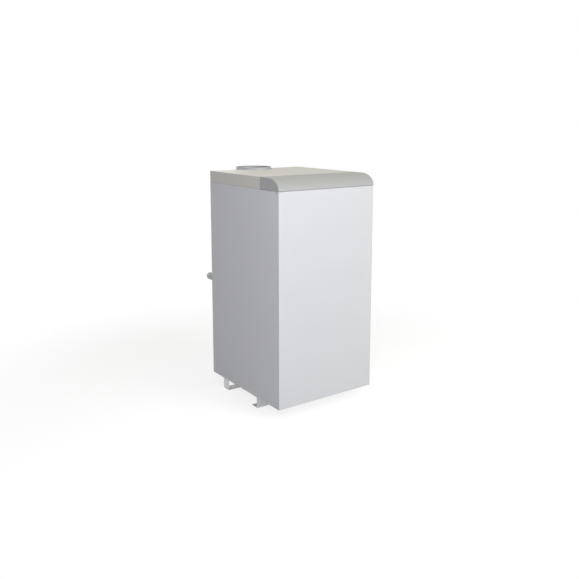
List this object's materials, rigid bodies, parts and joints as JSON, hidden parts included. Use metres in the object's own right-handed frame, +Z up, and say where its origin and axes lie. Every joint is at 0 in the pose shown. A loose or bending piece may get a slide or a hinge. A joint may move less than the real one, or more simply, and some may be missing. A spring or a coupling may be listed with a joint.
{
  "type": "floor standing gas boiler",
  "caption": "Floor standing gas boiler with a draught hood, a hinged front door and a lid over its controls; burner, cast iron heat exchanger and gas line inside.",
  "frame": {"origin": "on the floor, under the middle of the whole boiler with its draught hood", "axes": "+Z up; -Y is the front, where the door is; +X is to the right for someone facing the door"},
  "size_m": [0.425, 0.6, 0.87],
  "materials": {
    "white_paint": "satin white stove enamel",
    "cover_plastic": "fine grained light grey moulding",
    "zinc_plated_steel": "bright zinc plate",
    "aluminised_steel": "dull aluminised sheet",
    "dark_grey_paint": "fine textured paint",
    "black_plastic": "moulded",
    "white_plastic": "moulded",
    "red_plastic": "moulded",
    "cast_iron": "as cast, dark primer",
    "foil_faced_wool": "mineral wool with a foil face",
    "brass": "turned",
    "die_cast_aluminium": "as cast",
    "ceramic": "glazed ceramic",
    "glass": "clear",
    "magnet_rubber": "flexible magnetic strip"
  },
  "bodies": {
    "boiler": {"left_side_panel": "white_paint", "right_side_panel": "white_paint", "top_cover": "white_paint", "base_frame": "zinc_plated_steel", "front_left_foot": "zinc_plated_steel", "front_right_foot": "zinc_plated_steel", "rear_left_foot": "zinc_plated_steel", "rear_right_foot": "zinc_plated_steel", "back_panel": "zinc_plated_steel", "upper_door_hinge": "zinc_plated_steel", "lower_door_hinge": "zinc_plated_steel", "left_cover_hinge": "zinc_plated_steel", "right_cover_hinge": "zinc_plated_steel", "cover_hinge_pin": "zinc_plated_steel", "thermostat_body": "zinc_plated_steel", "safety_thermostat": "zinc_plated_steel", "left_tie_rod": "zinc_plated_steel", "right_tie_rod": "zinc_plated_steel", "flow_pipe": "zinc_plated_steel", "return_pipe": "zinc_plated_steel", "spill_thermostat": "zinc_plated_steel", "gas_inlet_pipe": "zinc_plated_steel", "flue_collector": "aluminised_steel", "draught_hood": "aluminised_steel", "burner_tray": "aluminised_steel", "burner_plate": "aluminised_steel", "burner_bar_1": "aluminised_steel", "burner_bar_2": "aluminised_steel", "burner_bar_3": "aluminised_steel", "chamber_plate": "aluminised_steel", "control_panel": "dark_grey_paint", "electrical_box": "dark_grey_paint", "main_switch": "black_plastic", "season_switch": "black_plastic", "burner_controller": "black_plastic", "thermometer_case": "black_plastic", "pressure_gauge_case": "black_plastic", "safety_thermostat_cap": "black_plastic", "cable_gland": "black_plastic", "front_section": "cast_iron", "middle_section": "cast_iron", "rear_section": "cast_iron", "block_insulation": "foil_faced_wool", "drain_cock": "brass", "gas_valve": "die_cast_aluminium", "gas_manifold": "die_cast_aluminium", "ignition_electrode": "ceramic", "sight_glass": "glass", "door_magnet": "magnet_rubber"},
    "front_door": {"front_door": "white_paint", "door_insulation": "foil_faced_wool"},
    "console_cover": {"console_cover": "cover_plastic"},
    "thermostat_knob": {"thermostat_knob": "black_plastic"},
    "main_switch_rocker": {"main_switch_rocker": "red_plastic"},
    "season_switch_rocker": {"season_switch_rocker": "white_plastic"},
    "reset_button": {"reset_button": "red_plastic"},
    "thermometer_pointer": {"thermometer_pointer": "red_plastic"},
    "pressure_gauge_pointer": {"pressure_gauge_pointer": "red_plastic"},
    "drain_cock_lever": {"drain_cock_lever": "red_plastic"},
    "sight_glass_flap": {"sight_glass_flap": "zinc_plated_steel"}
  },
  "joints": [
    {"name": "front_door_hinge", "type": "hinge", "parent": "boiler", "child": "front_door", "pos_m": [-0.2065, -0.2875, 0.4315], "axis": [0, 0, -1], "range_deg": [0, 110]},
    {"name": "console_cover_hinge", "type": "hinge", "parent": "boiler", "child": "console_cover", "pos_m": [0, -0.187, 0.8598], "axis": [-1, 0, 0], "range_deg": [0, 100]},
    {"name": "thermostat_knob_turn", "type": "hinge", "parent": "boiler", "child": "thermostat_knob", "pos_m": [-0.036, -0.238, 0.8253], "axis": [0, 0, -1], "range_deg": [0, 270]},
    {"name": "main_switch_rock", "type": "hinge", "parent": "boiler", "child": "main_switch_rocker", "pos_m": [-0.163, -0.238, 0.823], "axis": [1, 0, 0], "range_deg": [0, 18]},
    {"name": "season_switch_rock", "type": "hinge", "parent": "boiler", "child": "season_switch_rocker", "pos_m": [-0.123, -0.238, 0.823], "axis": [1, 0, 0], "range_deg": [0, 18]},
    {"name": "reset_button_press", "type": "slide", "parent": "boiler", "child": "reset_button", "axis": [0, 0, -1], "range_m": [0, 0.003], "stiffness_N_per_m": 300, "springref_m": -0.002},
    {"name": "thermometer_pointer_turn", "type": "hinge", "parent": "boiler", "child": "thermometer_pointer", "pos_m": [0.07, -0.238, 0.8263], "axis": [0, 0, -1], "range_deg": [0, 240]},
    {"name": "pressure_gauge_pointer_turn", "type": "hinge", "parent": "boiler", "child": "pressure_gauge_pointer", "pos_m": [0.135, -0.238, 0.8263], "axis": [0, 0, -1], "range_deg": [0, 240]},
    {"name": "drain_cock_lever_turn", "type": "hinge", "parent": "boiler", "child": "drain_cock_lever", "pos_m": [0.115, -0.1699, 0.1188], "axis": [0, 0, 1], "range_deg": [0, 90]},
    {"name": "sight_glass_flap_swing", "type": "hinge", "parent": "boiler", "child": "sight_glass_flap", "pos_m": [-0.055, -0.1529, 0.194], "axis": [0, -1, 0], "range_deg": [0, 90]}
  ]
}
